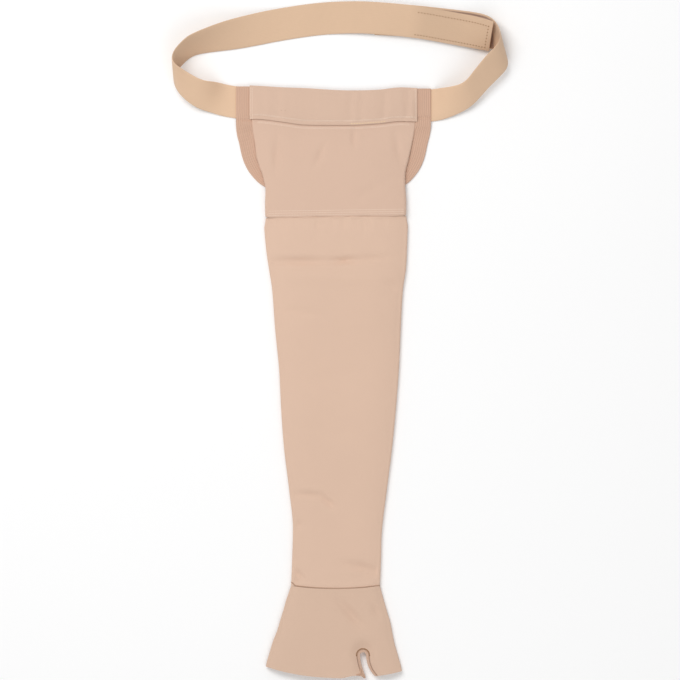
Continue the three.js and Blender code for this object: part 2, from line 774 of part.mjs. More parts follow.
const sleeve = new THREE.Group();
sleeve.add(piece('arm_sleeve', armSleeve(), knitColour, 0.85));
sleeve.add(piece('hand_piece', handPiece(), handColour, 0.85));
sleeve.add(piece('thumb_slot_binding', thumbSlotBinding(), ribColour, 0.9));
sleeve.add(piece('shoulder_cap', shoulderCap(), knitColour, 0.85));
sleeve.add(piece('top_hem_band', topHemBand(), hemColour, 0.85));
sleeve.add(piece('armhole_binding', armholeBinding(), ribColour, 0.9));
sleeve.add(piece('strap_long', strapLong(), strapColour, 0.8));
sleeve.add(piece('strap_short', strapShort(), strapColour, 0.8));
sleeve.add(piece('hook_pad', hookPad(), strapColour, 0.9));
sleeve.add(piece('loop_pad', loopPad(), ribColour, 0.95));

// The origin stands under the middle of the whole object, on the surface
const box = new THREE.Box3().setFromObject(sleeve);
const middle = box.getCenter(new THREE.Vector3());
sleeve.position.set(-middle.x, -middle.y, -box.min.z);

export default sleeve;
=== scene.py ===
import math
import bpy
import numpy as np
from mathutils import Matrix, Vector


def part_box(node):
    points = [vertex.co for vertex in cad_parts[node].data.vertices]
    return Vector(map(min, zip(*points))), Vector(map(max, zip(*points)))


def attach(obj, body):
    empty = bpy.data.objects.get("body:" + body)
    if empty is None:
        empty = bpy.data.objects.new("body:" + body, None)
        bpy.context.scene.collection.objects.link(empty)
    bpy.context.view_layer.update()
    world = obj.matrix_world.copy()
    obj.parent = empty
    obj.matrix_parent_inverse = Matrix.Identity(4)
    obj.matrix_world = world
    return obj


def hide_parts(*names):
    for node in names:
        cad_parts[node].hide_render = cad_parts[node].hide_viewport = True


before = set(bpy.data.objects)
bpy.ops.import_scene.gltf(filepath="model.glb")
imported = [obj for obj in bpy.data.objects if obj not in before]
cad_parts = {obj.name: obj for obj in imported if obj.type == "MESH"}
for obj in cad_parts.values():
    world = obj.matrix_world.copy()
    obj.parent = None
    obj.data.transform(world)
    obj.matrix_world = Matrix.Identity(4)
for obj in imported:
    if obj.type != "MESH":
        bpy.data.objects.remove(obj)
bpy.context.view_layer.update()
print("frame loaded")

# Lengths are millimetres in the sleeve's own frame: x across the arm, y from the wrist seam to
# the shoulder, z up off the table; toMetres() puts them in the shared frame. The tables hold
# shares of the named sizes where nothing else is said, and their columns are named beside them.
cloth = {"gap": 0.3, "knitWall": 1.5, "seamLap": 0.15}


def readTable(columns, rows, places):  # smooth values of every column, level where one turns
    data = np.array(rows, dtype=float)
    key = data[:, 0]
    secant = np.diff(data, axis=0) / np.diff(key)[:, None]
    slopes = np.vstack([secant[:1], np.zeros_like(data[2:]), secant[-1:]])
    wide = (data[2:] - data[:-2]) / (key[2:] - key[:-2])[:, None]
    slopes[1:-1] = np.where(secant[1:] * secant[:-1] > 0, wide, 0)
    places = np.atleast_1d(np.asarray(places, dtype=float))
    i = np.clip(np.searchsorted(key, places, side="right") - 1, 0, len(key) - 2)
    span = (key[i + 1] - key[i])[:, None]
    t = np.clip((places[:, None] - key[i][:, None]) / span, 0, 1)
    h = t * t * (3 - 2 * t)
    value = data[i] * (1 - h) + data[i + 1] * h
    value += t * (1 - t) ** 2 * span * slopes[i] + t * t * (t - 1) * span * slopes[i + 1]
    return dict(zip(columns, value.T))


def toMetres(points):
    return (np.asarray(points, dtype=float) + shift) / 1000


def smoothStep(value, low, high):
    t = np.clip((value - low) / (high - low), 0, 1)
    return t * t * (3 - 2 * t)


def mix(a, b, t):
    return a + (b - a) * t


def makeObject(name, points, faces, uv=None):
    mesh = bpy.data.meshes.new(name)
    mesh.from_pydata(toMetres(points).tolist(), [], faces)
    if uv is not None:
        layer = mesh.uv_layers.new(name="run")
        loopVerts = np.empty(len(mesh.loops), dtype=int)
        mesh.loops.foreach_get("vertex_index", loopVerts)
        layer.data.foreach_set("uv", np.asarray(uv, dtype=float)[loopVerts].ravel())
    mesh.update()
    piece = bpy.data.objects.new(name, mesh)
    bpy.context.scene.collection.objects.link(piece)
    return piece


def turnOutwards(piece):  # all faces of a closed mesh point out
    mesh = piece.data
    mesh.calc_loop_triangles()
    volume = 0
    for tri in mesh.loop_triangles:
        a, b, c = (mesh.vertices[i].co for i in tri.vertices)
        volume += a.dot(b.cross(c))
    if volume < 0:
        mesh.flip_normals()
    return piece


def smoothShade(piece, sharpAngle=50):
    piece.data.shade_smooth()
    piece.data.set_sharp_from_angle(angle=math.radians(sharpAngle))
    return piece


def ringFaces(rows, count, first=0):
    faces = []
    for r in range(rows - 1):
        for k in range(count):
            after = (k + 1) % count
            low = first + r * count
            faces.append((low + k, low + after, low + count + after, low + count + k))
    return faces


def endFaces(first, count, turned):
    faces = []
    low = 0
    high = count - 1
    while high - low > 1:
        quad = [low, high, high - 1, low + 1] if high - low > 2 else [low, high, low + 1]
        quad = [first + k for k in quad]
        faces.append(tuple(reversed(quad)) if turned else tuple(quad))
        low += 1
        high -= 1
    return faces


def solidFromRings(name, rings, uv=None):
    rings = np.asarray(rings)
    rows, count = rings.shape[:2]
    faces = ringFaces(rows, count) + endFaces(0, count, False) + endFaces((rows - 1) * count, count, True)
    return turnOutwards(makeObject(name, rings.reshape(-1, 3), faces, uv))


def tubeFromRings(name, outer, inner):
    outer = np.asarray(outer)
    inner = np.asarray(inner)
    rows, count = outer.shape[:2]
    split = rows * count
    faces = ringFaces(rows, count)
    faces += [tuple(reversed(face)) for face in ringFaces(rows, count, split)]
    last = (rows - 1) * count
    for k in range(count):
        after = (k + 1) % count
        faces.append((split + k, split + after, after, k))
        faces.append((last + k, last + after, split + last + after, split + last + k))
    points = np.vstack([outer.reshape(-1, 3), inner.reshape(-1, 3)])
    return turnOutwards(makeObject(name, points, faces))


def tubeRing(section, inset, yAt, shapeTop, steps, quarter=6):
    left = section["left"] + inset
    right = section["right"] - inset
    rim = section["round"] - inset
    middle = section["base"] + section["round"]
    rise = section["height"] - section["base"] - 2 * section["round"]
    turn = np.pi / 2 * np.arange(quarter) / quarter
    side = 2 * np.arange(steps + 1) / steps - 1
    flatX = mix(left + rim, right - rim, (side + 1) / 2)
    x = np.concatenate([left + rim * (1 - np.cos(turn)), flatX, (right - rim * (1 - np.cos(turn)))[::-1]])
    half = np.concatenate([rim * np.sin(turn), np.full(steps + 1, rim), (rim * np.sin(turn))[::-1]])
    side = np.concatenate([np.full(quarter, -1.0), side, np.full(quarter, 1.0)])
    y = yAt(x)
    low = np.stack([x, y, middle - half], axis=1)
    top = middle + half + rise * (1 - np.abs(side) ** section["crown"])
    eased = smoothStep(1 - np.abs(side), 0, 0.06)
    top = top + (shapeTop(x, y, top, inset) - top) * eased
    high = np.stack([x, y, top], axis=1)
    return np.vstack([low, high[1:-1][::-1]])


def applyModifiers(piece):
    depsgraph = bpy.context.evaluated_depsgraph_get()
    mesh = bpy.data.meshes.new_from_object(piece.evaluated_get(depsgraph))
    piece.modifiers.clear()
    piece.data = mesh
    mesh.name = piece.name
    return piece


def cut(piece, cutter, operation="DIFFERENCE"):
    modifier = piece.modifiers.new("cut", "BOOLEAN")
    modifier.operation = operation
    modifier.solver = "MANIFOLD"
    modifier.object = cutter
    applyModifiers(piece)
    return piece


def discard(*pieces):
    for piece in pieces:
        bpy.data.objects.remove(piece)


# Arm tube
arm = {
    "length": 425.5, "topWidth": 165.6, "topHeight": 13, "sideRound": 3, "lap": 10, "crown": 4,
    "tuck": 0.9, "tuckDrop": 1.9, "topEase": 1.7, "topSettle": 0.9, "seamFill": 0.6,  # at the cap's edge
    "wristReach": 42.5, "seamRidge": 0.5, "dentDepth": 17, "wave": 1.8,
    "rowLength": 2.2, "steps": 64, "topStretch": 12, "topRows": 40,  # fineness of the mesh
}
armColumns = ("along", "left", "right", "height")
armRows = [
    (0.000, 0.625, 0.611, 0.78), (0.070, 0.611, 0.625, 0.76), (0.151, 0.600, 0.640, 0.77),
    (0.259, 0.653, 0.708, 0.82), (0.368, 0.722, 0.778, 0.87), (0.476, 0.764, 0.833, 0.91),
    (0.584, 0.792, 0.875, 0.94), (0.692, 0.847, 0.900, 0.97), (0.800, 0.889, 0.931, 0.99),
    (0.854, 0.931, 0.972, 1.00), (0.908, 0.972, 0.988, 1.00), (0.972, 1.000, 1.000, 1.00),
]
seamGaps = [(-48, 8), (-15, 7), (12, 5), (36, 6), (68, 8)]  # where the groove shows: middle, half length
# Dents: across and along the cloth, length, width and depth as shares, turn in degrees
dentRows = [
    (-0.50, 0.749, 0.40, 0.027, 0.23, 0), (0.12, 0.7506, 0.17, 0.023, 0.22, 4),
    (0.47, 0.7530, 0.26, 0.024, 0.11, 5), (0.00, 0.718, 1.00, 0.045, -0.05, 0),
    (-0.50, 0.657, 0.30, 0.030, 0.06, -6), (0.78, 0.707, 0.10, 0.030, 0.07, -40),
    (-0.40, 0.3247, 0.20, 0.020, 0.12, -3), (-0.11, 0.3115, 0.12, 0.022, 0.17, -38),
    (-0.35, 0.336, 0.15, 0.030, -0.06, -20),
    (-0.54, 0.272, 0.08, 0.020, 0.08, -20), (0.36, 0.192, 0.25, 0.032, 0.20, -12),
    (-0.51, 0.179, 0.10, 0.022, 0.14, -42), (0.45, 0.178, 0.20, 0.030, 0.08, 8),
    (-0.59, 0.171, 0.06, 0.014, 0.20, -40),
    (0.21, 0.107, 0.24, 0.032, 0.20, -47), (0.55, 0.112, 0.10, 0.025, 0.12, -60),
    (-0.83, 0.942, 0.19, 0.022, 0.13, 88), (-0.22, 0.9436, 0.14, 0.020, 0.11, 64),
    (0.25, 0.9745, 0.12, 0.020, 0.11, 90), (0.86, 0.955, 0.20, 0.030, 0.10, 100),
    (-0.26, 0.8166, 0.08, 0.012, 0.05, 90), (0.10, 0.8166, 0.08, 0.012, 0.05, 86),
    (0.39, 0.8166, 0.09, 0.016, 0.06, 96), (0.05, 0.540, 0.50, 0.060, 0.04, 8),
    (-0.10, 0.440, 0.45, 0.050, 0.04, -10), (0.50, 0.880, 0.30, 0.040, 0.05, 30),
]


def dentAt(x, y):  # how deep the lying cloth is pressed in at a point
    depth = 0
    half = arm["topWidth"] / 2
    for across, along, length, width, deep, turn in dentRows:
        dx = x - across * half
        dy = y + hand["length"] - along * (hand["length"] + hemLowY)
        angle = math.radians(turn)
        run = (dx * math.cos(angle) + dy * math.sin(angle)) / (length * half)
        aside = (dy * math.cos(angle) - dx * math.sin(angle)) / (width * 2 * half)
        depth = depth + deep * arm["dentDepth"] * np.exp(-run * run - aside * aside)
    return depth


def softWave(x, y):  # faint unevenness of cloth that has been handled
    wave = 0.10 * np.sin(x / 17 + 1.3 * np.sin(y / 43)) * np.sin(y / 29 + 0.7)
    return arm["wave"] * (wave + 0.05 * np.sin(x / 7.5 + y / 31) * np.sin(y / 13 + x / 23))


def dentedTop(x, y, top, inset):
    return top - dentAt(x, y) + softWave(x, y)


def seamPuckers(x, y):  # small upright gathers just below the cap's seam
    fade = smoothStep(y, arm["length"] - 24, arm["length"] - 3) * (y < arm["length"])
    return 0.22 * fade * (np.sin(x / 2.3) + 0.6 * np.sin(x / 1.37 + 1.1)) * (0.6 + 0.4 * np.sin(x / 19))


def seamClosing(x, y):  # the groove under the cap's edge stays open only in a few short stretches
    shown = sum(np.exp(-((x - middle) / half) ** 4) for middle, half in seamGaps)
    near = smoothStep(y, arm["length"] - 3.0, arm["length"] - 1.2) * (y < arm["length"])
    return arm["seamFill"] * (1 - np.minimum(shown, 1)) * near


def armSection(place):
    read = readTable(armColumns, armRows, place / arm["length"])
    half = arm["topWidth"] / 2
    inside = cloth["knitWall"] + cloth["gap"]
    tucked = arm["length"] - cloth["gap"]
    settled = arm["topSettle"] * float(smoothStep(place, arm["length"] - 20, arm["length"] - 3))
    tuck = float(smoothStep(place, tucked - arm["tuck"], tucked))
    ease = arm["topEase"] * float(smoothStep(place, arm["length"] - 14, arm["length"] - 1))
    return {
        "left": mix(ease - half * read["left"][0], -cap["width"] / 2 + 2 * inside, tuck),
        "right": mix(half * read["right"][0] - ease, cap["width"] / 2 - 2 * inside, tuck),
        "base": inside * tuck,
        "height": arm["topHeight"] * read["height"][0] - settled - (arm["tuckDrop"] - settled) * tuck,
        "round": arm["sideRound"],
        "crown": arm["crown"],
    }


def wristSeamY(x):
    half = arm["topWidth"] * armRows[0][1] / 2
    return -hand["wristSag"] * (1 - (x / half) ** 2)


def wristRidge(x, y):  # the seam allowance turned up inside shows as a soft ridge
    above = y - wristSeamY(x)
    return arm["seamRidge"] * (np.exp(-((above - 2.4) / 1.3) ** 2) - 0.8 * np.exp(-(above / 0.9) ** 2))


def armTop(x, y, top, inset):
    return dentedTop(x, y, top, inset) + seamPuckers(x, y) + seamClosing(x, y) + wristRidge(x, y)


def makeArm():
    topStart = arm["length"] - arm["topStretch"]
    body = np.arange(0, topStart, arm["rowLength"])
    top = np.linspace(topStart, arm["length"] + arm["lap"], arm["topRows"])
    outer = []
    inner = []
    for place in np.concatenate([body, top]):
        section = armSection(place)
        sag = max(0, 1 - place / arm["wristReach"])
        slant = cap["edgeSlant"] * smoothStep(place, arm["length"] - 40, arm["length"] - 5)

        def yAt(x, place=place, sag=sag, slant=slant):
            return cloth["seamLap"] + place + sag * wristSeamY(x) + slant * x / cap["width"]

        outer.append(tubeRing(section, 0, yAt, armTop, arm["steps"]))
        inner.append(tubeRing(section, cloth["knitWall"], yAt, armTop, arm["steps"]))
    return smoothShade(tubeFromRings("armSleeve", outer, inner))


# Hand piece with its thumb slot
hand = {
    "length": 101, "sideLength": 95.8, "tilt": 2.6, "endWidth": 155, "crown": 8,
    "wristSag": 3.5, "endSag": 10.4, "slotY": 76.8, "slotLength": 28.5, "slotTop": 7,
    "slotMouth": 11.5, "slotX": 31, "slotLean": 9, "binding": 3.5, "proud": 0.5,
    "seamHeight": 6.4, "pull": 8, "drawnUp": 2.6,
    "rows": 56, "steps": 84,  # fineness of the mesh
}
handColumns = ("along", "left", "right", "height")
handRows = [
    (0.000, 0.668, 0.653, 0.78), (0.180, 0.742, 0.714, 0.80), (0.310, 0.786, 0.763, 0.83),
    (0.430, 0.831, 0.808, 0.85), (0.555, 0.875, 0.838, 0.86), (0.680, 0.935, 0.872, 0.85),
    (0.800, 0.979, 0.915, 0.84), (0.930, 1.026, 0.962, 0.82), (1.000, 1.045, 0.981, 0.80),
]


def slotAt(down):  # the slot bows towards the thumb's side as it opens
    wide = mix(hand["slotTop"], hand["slotMouth"], down ** 4)
    x = hand["slotX"] + hand["slotLean"] * down ** 2.3
    return x, -hand["slotY"] - hand["slotLength"] * down, wide / 2


def slotOutline(grow, arcSteps=20):
    topX, topY, topHalf = slotAt(0)
    rim = topHalf + grow
    turn = np.pi - np.pi * np.arange(arcSteps + 1) / arcSteps
    arch = [(topX + rim * math.cos(a), topY - topHalf + rim * math.sin(a)) for a in turn]
    legs = [slotAt(down) for down in np.linspace(0.2, 1.25, 16)]
    left = [(x - half - grow, y) for x, y, half in legs[::-1]]
    right = [(x + half + grow, y) for x, y, half in legs]
    return left + arch + right


def slotCutter(grow):
    outline = slotOutline(grow)
    reach = arm["topHeight"] * 2
    low = [(x, y, -reach) for x, y in outline]
    high = [(x, y, reach) for x, y in outline]
    count = len(outline)
    faces = [(k, (k + 1) % count, count + (k + 1) % count, count + k) for k in range(count)]
    faces += [tuple(reversed(range(count))), tuple(range(count, 2 * count))]
    return turnOutwards(makeObject("slotCutter", low + high, faces))


def fromSlot(x, y):
    topY = slotAt(0)[1]
    down = np.clip((topY - y) / hand["slotLength"], 0, 1)
    hereX, _, half = slotAt(down)
    return np.maximum(0, np.hypot(x - hereX, np.maximum(0, y - topY)) - half)


def handForm(name, inset, past, proud):
    def handTop(x, y, top, inset):
        pull = np.exp(-(fromSlot(x, y) / hand["pull"]) ** 2)
        dented = dentedTop(x, y, top, inset)
        return mix(dented, np.minimum(dented, hand["seamHeight"] - inset), pull) + proud

    rings = []
    half = hand["endWidth"] / 2
    for i in range(hand["rows"] + 1):
        along = i / hand["rows"]
        read = readTable(handColumns, handRows, along)
        section = {
            "left": -half * read["left"][0], "right": half * read["right"][0], "base": 0,
            "height": arm["topHeight"] * read["height"][0], "round": arm["sideRound"],
            "crown": hand["crown"],
        }
        sag = mix(hand["wristSag"], hand["endSag"], along)
        end = past * ((i == 0) - (i == hand["rows"]))
        middle = (section["left"] + section["right"]) / 2
        span = (section["right"] - section["left"]) / 2
        start = end - cloth["seamLap"] - hand["sideLength"] * along
        tilt = hand["tilt"] * along

        drawn = hand["drawnUp"] * along ** 3  # the slot's binding draws up the edge beside it

        def yAt(x, start=start, sag=sag, tilt=tilt, middle=middle, span=span, drawn=drawn):
            side = (x - middle) / span
            beside = smoothStep(x, 4, 22) * (1 - smoothStep(x, 26, 32))
            return start - sag * (1 - np.abs(side) ** 2.2) - tilt * side + drawn * beside

        rings.append(tubeRing(section, inset, yAt, handTop, hand["steps"]))
    return solidFromRings(name, rings)


def makeHand():
    piece = handForm("handPiece", 0, 0, 0)
    hollow = handForm("handHollow", cloth["knitWall"], 6, 0)
    edge = slotCutter(hand["binding"] + cloth["gap"])
    seam = slotCutter(hand["binding"] + cloth["gap"] + cloth["knitWall"])
    cut(piece, edge)
    cut(hollow, seam)
    cut(piece, hollow)
    discard(hollow, edge, seam)
    return smoothShade(piece, 40)


def makeSlotBinding():
    piece = handForm("slotBinding", 0, 0, hand["proud"])
    outside = slotCutter(hand["binding"])
    inside = slotCutter(0)
    cut(piece, outside, "INTERSECT")
    cut(piece, inside)
    discard(outside, inside)
    return smoothShade(piece, 40)


# Shoulder cap and its panel
cap = {
    "width": 162, "tube": 45, "back": 28, "panel": 62, "edgeSlant": 2.4,
    "panelRound": 1.8, "panelHeight": 6, "edgeThin": 0.8, "edgeReach": 3,
    "edgeWave": 1.0,
    "rows": 64, "steps": 90, "edgePlaces": (0, 0.3, 0.8, 1.4, 2.2),  # fineness of the mesh
}
capColumns = ("up", "spreadLeft", "spreadRight", "height", "flat")
capRows = [
    (0.00, 0.03, -0.01, 1.00, 0.0), (0.14, 0.05, 0.00, 0.99, 0.0), (0.28, 0.02, -0.08, 0.97, 0.1),
    (0.42, 0.17, -0.12, 0.92, 0.4), (0.63, 0.62, 0.30, 0.80, 0.7), (0.82, 0.78, 0.70, 0.62, 0.9),
    (0.95, 0.93, 0.92, 0.50, 1.0), (1.09, 0.98, 0.97, 0.46, 1.0),
]
capLength = cap["tube"] + cap["panel"]


def capSection(up):
    read = readTable(capColumns, capRows, up)
    half = cap["width"] / 2
    flat = read["flat"][0]
    full = arm["sideRound"] + cloth["knitWall"] + cloth["gap"]
    return {
        "left": mix(-half, hemLeftX + cloth["gap"], read["spreadLeft"][0]),
        "right": mix(half, hemRightX - cloth["gap"], read["spreadRight"][0]),
        "base": 0,
        "height": mix(arm["topHeight"] * read["height"][0], cap["panelHeight"], flat ** 6),
        "round": mix(full, cap["panelRound"], flat),
        "crown": arm["crown"],
    }


def makeCap():
    endUp = 1 + hem["lap"] / capLength
    edge = np.array(cap["edgePlaces"]) / capLength
    body = np.linspace(cap["edgeReach"] / capLength, endUp, cap["rows"])
    outer = []
    inner = []
    for up in np.concatenate([edge, body]):
        section = capSection(up)
        slant = cap["edgeSlant"] * (1 - up / endUp)
        thin = cap["edgeThin"] * (1 - smoothStep(up * capLength, 0, cap["edgeReach"])) ** 2
        loose = cap["edgeWave"] * (1 - smoothStep(up * capLength, 0, 7))

        def yAt(x, up=up, slant=slant, loose=loose):
            drawn = 0.5 + 0.35 * np.sin(x / 8.3 + 1) + 0.15 * np.sin(x / 3.1)
            return arm["length"] + capLength * up + slant * x / cap["width"] - loose * drawn

        outer.append(tubeRing(section, thin, yAt, dentedTop, cap["steps"]))
        inner.append(tubeRing(section, cloth["knitWall"], yAt, dentedTop, cap["steps"]))
    piece = tubeFromRings("shoulderCap", outer, inner)
    below = ribBand["thick"] + cloth["gap"]
    y0 = arm["length"] + cap["back"]
    wide = hem["width"]
    corners = [(x, y, z) for z in (-below, below) for y in (y0, y0 + 2 * capLength) for x in (-wide, wide)]
    sides = [(0, 2, 3, 1), (4, 5, 7, 6), (0, 1, 5, 4), (2, 6, 7, 3), (0, 4, 6, 2), (1, 3, 7, 5)]
    backCut = turnOutwards(makeObject("backCut", corners, sides))
    cut(piece, backCut)
    discard(backCut)
    return smoothShade(piece)


def panelTop(x, y):
    section = capSection((y - arm["length"]) / capLength)
    wide = section["right"] - section["left"]
    side = np.clip((2 * x - section["left"] - section["right"]) / wide, -1, 1)
    rise = section["height"] - 2 * section["round"]
    return 2 * section["round"] + rise * (1 - np.abs(side) ** section["crown"])


# Hem band
hem = {
    "width": 190, "height": 40, "lap": 9, "shift": -3, "fold": 0.9, "thick": 2.8,
    "over": 1.6, "endThin": 1.9,  # the ends lie over the ribbed band and are pressed thin
    "columns": 260, "rows": 30,  # fineness of the mesh
}
# Hem edges: across as a share of the width, low and high edge in mm from their level lines
hemEdgeColumns = ("across", "low", "high")
hemEdgeRows = [
    (0.00, 5.1, 3.8), (0.07, 4.8, 3.1), (0.20, 1.6, 1.6), (0.32, -1.4, 0.8), (0.60, -1.8, -1.9),
    (0.765, -0.2, -1.2), (0.915, 2.7, 1.6), (1.00, 2.1, 0.9),
]
hemFoldRows = [
    (0.16, 0.030, 0.9), (0.33, 0.060, 0.4), (0.60, 0.028, 1.1), (0.67, 0.022, 0.9),
    (0.81, 0.026, 1.3), (0.95, 0.022, 0.9),
]


def hemFoldAt(x, share):
    depth = 0
    for across, width, deep in hemFoldRows:
        lean = hemLeftX + across * hem["width"] + 1.5 * (share - 0.5)
        aside = (x - lean) / (width * hem["width"])
        depth = depth + deep * hem["fold"] * np.exp(-aside * aside)
    return depth + 0.12 * np.sin(x / 3.1 + share) * np.sin(x / 11)


def hemEdgesAt(x):
    read = readTable(hemEdgeColumns, hemEdgeRows, (x - hemLeftX) / hem["width"])
    return hemLowY + read["low"][0], hemHighY + read["high"][0]


def hemPoint(x, share, edges, top):
    y = mix(edges[0], edges[1], share)
    low = mix(panelTop(x, hemLowY) + cloth["gap"], ribBand["thick"], smoothStep(share, 0.24, 1))
    body = (1 - abs(2 * share - 1) ** 10) ** 0.5
    stitchDip = 0.9 * math.exp(-((share - 0.085) / 0.035) ** 2)
    fromEnd = min(x - hemLeftX, hemRightX - x) + hem["over"]
    atEnd = math.exp(-(fromEnd / 3.8) ** 2)
    low = mix(low, max(low, 2 * ribBand["thick"] + cloth["gap"] / 2), atEnd)
    full = hem["thick"] - hem["endThin"] * atEnd
    thick = max(0.4, full * body) - (hemFoldAt(x, share) + stitchDip) * (body > 0)
    centre = low + full / 2
    if top:
        return x, y, centre + max(0.2, thick - full / 2)
    return x, y, centre - full / 2 * body


def makeHem():
    shares = (1 - np.cos(np.pi * np.arange(hem["rows"] + 1) / hem["rows"])) / 2
    rings = []
    for i in range(hem["columns"] + 1):
        x = mix(hemLeftX - hem["over"], hemRightX + hem["over"], i / hem["columns"])
        edges = hemEdgesAt(x)
        under = [hemPoint(x, share, edges, False) for share in shares]
        above = [hemPoint(x, share, edges, True) for share in shares]
        rings.append(under + above[::-1])
    return smoothShade(solidFromRings("topHemBand", rings), 60)


# Bands that follow a route: straps, tapes and the armhole's ribbed edge
strap = {
    "width": 37, "thick": 1.5, "leftReach": 74, "rightReach": 87, "rise": 120, "bend": 38,
    "tuck": 12, "padWidth": 25, "pileWidth": 33, "hookLength": 88, "pileLength": 134, "tape": 1.0,
}
# Columns: out from the band or share along the loop, up its rise, lift of the lower edge, level
# over the short strap, slant and tip of the strap's width in degrees
longFront = [
    (-strap["tuck"] / strap["leftReach"], 0.033, 0, 0, 0, 0), (0.00, 0.036, 0, 0, 0, 0),
    (0.05, 0.040, 0, 0, 0, 0), (0.23, 0.064, 0.01, 0, 2, 4), (0.38, 0.088, 0.05, 0, 5, 18),
    (0.54, 0.107, 0.13, 0, 6, 27), (0.73, 0.172, 0.24, 0, 2, 27), (0.89, 0.250, 0.29, 0, 0, 36),
    (0.98, 0.325, 0.25, 0, -4, 46),
]
longBack = [
    (0.008, 0.413, 0.11, 0, -4, 46), (0.028, 0.493, 0.02, 0, -5, 49), (0.053, 0.570, 0.00, 0, -8, 51),
    (0.107, 0.630, 0.00, 0, -10, 42), (0.207, 0.705, 0.00, 0, -13, 17), (0.321, 0.782, 0.00, 0, -11, 2),
    (0.445, 0.839, 0.00, 0, -5, 0), (0.550, 0.853, 0.00, 0.7, 0, 0), (0.644, 0.837, 0.00, 1.1, 5, 0),
    (0.744, 0.802, 0.00, 1.0, 10, 0), (0.847, 0.743, 0.00, 1.0, 12, 1), (0.905, 0.707, 0.01, 1.1, 12, 9),
    (0.954, 0.667, 0.03, 1.3, 9, 24),
]
shortFront = [
    (-strap["tuck"] / strap["rightReach"], 0.000, 0, 0, 0, 0), (0.00, 0.006, 0, 0, 0, 0),
    (0.04, 0.010, 0, 0, 0, 0), (0.19, 0.028, 0.03, 0, -2, 17), (0.37, 0.067, 0.08, 0, -5, 31),
    (0.50, 0.120, 0.14, 0, -15, 38), (0.69, 0.278, 0.22, 0, -23, 39), (0.83, 0.388, 0.24, 0, -25, 36),
    (0.940, 0.470, 0.21, 0, -24, 38),
]
shortBack = [
    (0.993, 0.551, 0.13, 0, -18, 38), (0.980, 0.645, 0.05, 0, -10, 30), (0.951, 0.705, 0.01, 0, 0, 13),
    (0.905, 0.746, 0.00, 0, 8, 2), (0.798, 0.790, 0.00, 0, 8, 0), (0.693, 0.824, 0.00, 0, 4, 0),
    (0.607, 0.839, 0.00, 0, 1, 0),
]
routeColumns = ("travelled", "x", "y", "low", "slant", "tip")


def strapRoute(front, back, startX, reach):
    rows = [
        (startX + reach * out, hemMidY + strap["rise"] * up, strap["bend"] * lift, slant, tip)
        for out, up, lift, level, slant, tip in front
    ]
    rows += [
        (bendLeftX + loopWidth * share, hemMidY + strap["rise"] * up,
         strap["bend"] * lift + tabLevel * level, slant, tip)
        for share, up, lift, level, slant, tip in back
    ]
    return rows


def onEdge(x, y, low, slant, tip):
    low = np.maximum(low, 0)
    tip = np.maximum(tip, 0)
    z = low + strap["thick"] / 2 + strap["width"] / 2 * np.sin(np.radians(tip))
    return x, y, low, slant, tip, z


def eased(columns, reach=4):  # evens out small kinks along a route
    padded = np.pad(columns, ((reach, reach), (0, 0)), mode="reflect", reflect_type="odd")
    steps = 2 * reach + 1
    return sum(padded[k:k + len(columns)] for k in range(steps)) / steps


def strapStations(rows, count):
    data = np.array(rows, dtype=float)
    z = onEdge(*data.T)[5]
    steps = np.diff(np.column_stack([data[:, :2], z]), axis=0)
    travelled = np.concatenate([[0], np.cumsum(np.linalg.norm(steps, axis=1))])
    table = np.column_stack([travelled, data])
    read = readTable(routeColumns, table, np.linspace(0, travelled[-1], count + 1))
    even = eased(np.column_stack([read[name] for name in routeColumns[1:]]))
    return np.column_stack(onEdge(*even.T))


def routeFrame(path, across):  # the face direction and the run along a route
    along = np.gradient(path, axis=0)
    face = np.cross(across, along)
    face /= np.linalg.norm(face, axis=1)[:, None]
    run = np.concatenate([[0], np.cumsum(np.linalg.norm(np.diff(path, axis=0), axis=1))])
    return face, run


def bandRings(path, across, width, thick, spans, raised=0, relief=None):
    face, run = routeFrame(path, across)
    width = np.broadcast_to(width, len(path))
    side = -np.cos(np.pi * np.arange(spans + 1) / spans) if relief is None else np.linspace(-1, 1, spans + 1)
    body = (1 - np.abs(side) ** 12) ** 0.5 * thick / 2
    rings = []
    uv = []
    for i in range(len(path)):
        lift = relief(side, run[i]) if relief else 0
        middle = path[i] + np.outer(side * width[i] / 2, across[i])
        top = middle + np.outer(raised + body + lift, face[i])
        low = middle + np.outer(raised - body, face[i])
        rings.append(np.vstack([top, low[::-1]]))
        uv += [(run[i] / 1000, s * width[i] / 2000) for s in np.concatenate([side, side[::-1]])]
    return rings, uv


def widthOf(stations):
    slant = np.radians(stations[:, 3])
    tip = np.radians(stations[:, 4])
    return np.column_stack([np.sin(slant) * np.cos(tip), np.cos(slant) * np.cos(tip), np.sin(tip)])


def makeBand(name, stations, width, thick, spans, raised=0, relief=None):
    path = stations[:, [0, 1, 5]]
    rings, uv = bandRings(path, widthOf(stations), width, thick, spans, raised, relief)
    return smoothShade(solidFromRings(name, rings, uv), 70)


# Ribbed band round the armhole
ribBand = {
    "width": 17, "thick": 1.8, "ribs": 7, "ribDepth": 0.5, "topLeft": 2.7, "topRight": 0.3,
    "foldY": 536, "foldDepth": 1.4, "atHem": 1.6, "underPanel": 3.4,
}
ribColumns = ("inward", "drop", "lift")
ribRows = [
    (0.00, -0.62, 1), (0.00, -0.27, 1), (0.00, 0.00, 1), (0.03, 0.16, 0), (0.11, 0.30, 0),
    (0.24, 0.55, 0), (0.45, 0.74, 0), (0.85, 0.92, 0), (1.35, 0.99, 0), (2.10, 1.00, 0),
]


